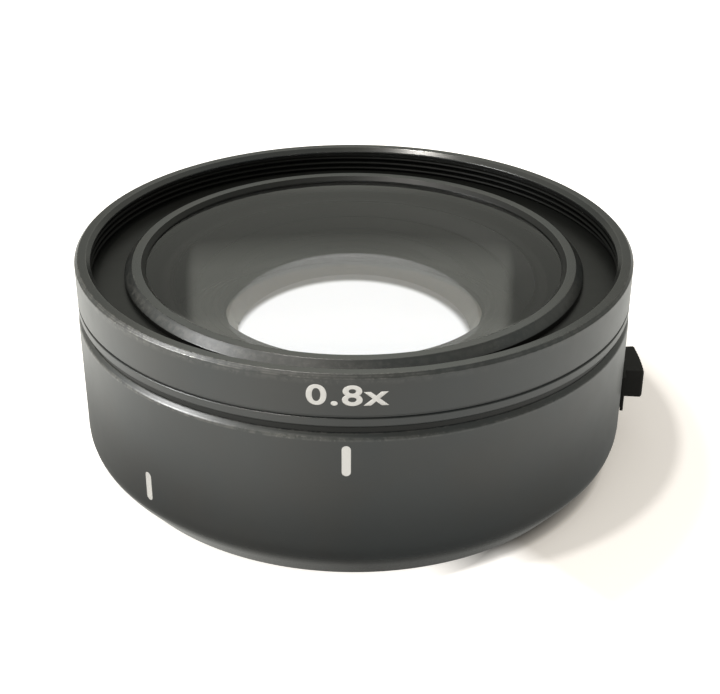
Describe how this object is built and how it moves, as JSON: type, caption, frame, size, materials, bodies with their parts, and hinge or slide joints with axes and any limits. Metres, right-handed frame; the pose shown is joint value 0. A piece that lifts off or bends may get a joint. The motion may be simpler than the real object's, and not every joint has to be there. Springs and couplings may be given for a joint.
{
  "type": "wide-angle conversion lens",
  "caption": "Squat round wide-angle conversion lens with a threaded front recess, a domed front glass and a rear bayonet that a sprung side lever unlocks.",
  "frame": {"origin": "centre of the rear bayonet ring at the rear rest face, on the optical axis", "axes": "+Z along the optical axis out of the front glass; the locked-position index mark is on the -Y side and the release lever on the +X side"},
  "size_m": [0.0942, 0.0902, 0.0364],
  "materials": {
    "black_anodised": "satin black anodised",
    "matt_black": "matt black paint",
    "coated_glass": "polished, multi-coated",
    "satin_chrome": "satin chrome plate",
    "black_plastic": "moulded matt black",
    "satin_steel": "satin"
  },
  "bodies": {
    "barrel": {"front_barrel": "black_anodised", "front_retaining_ring": "black_anodised", "lower_barrel": "black_anodised", "rear_cell": "black_anodised", "rear_retaining_ring": "black_anodised", "baffle_ring": "matt_black", "front_element": "coated_glass", "rear_crown_element": "coated_glass", "rear_flint_element": "coated_glass", "bayonet_ring": "satin_chrome", "pin_spring": "satin_steel", "pin_bracket": "satin_steel", "bayonet_screw_1": "satin_steel", "bayonet_screw_2": "satin_steel", "bayonet_screw_3": "satin_steel", "bayonet_screw_4": "satin_steel", "bayonet_screw_5": "satin_steel", "bayonet_screw_6": "satin_steel", "cell_screw_1": "satin_steel", "cell_screw_2": "satin_steel", "cell_screw_3": "satin_steel", "bracket_screw_1": "satin_steel", "bracket_screw_2": "satin_steel", "stop_pin": "satin_steel"},
    "release_lever": {"release_lever": "black_plastic", "lever_slider": "satin_steel", "lever_screw": "satin_steel"},
    "lock_pin": {"lock_pin": "satin_steel"}
  },
  "joints": [
    {"name": "lever_turn", "type": "hinge", "parent": "barrel", "child": "release_lever", "pos_m": [0, 0, 0.0116], "axis": [0, 0, 1], "range_deg": [0, 6], "stiffness_Nm_per_rad": 0.3, "springref_deg": -11.46},
    {"name": "pin_lift", "type": "slide", "parent": "barrel", "child": "lock_pin", "axis": [0, 0, 1], "range_m": [0, 0.00201], "deforming": ["pin_spring"]}
  ],
  "couplings": [
    {"joint": "pin_lift", "follows": "lever_turn", "m_per_rad": 0.019099}
  ]
}
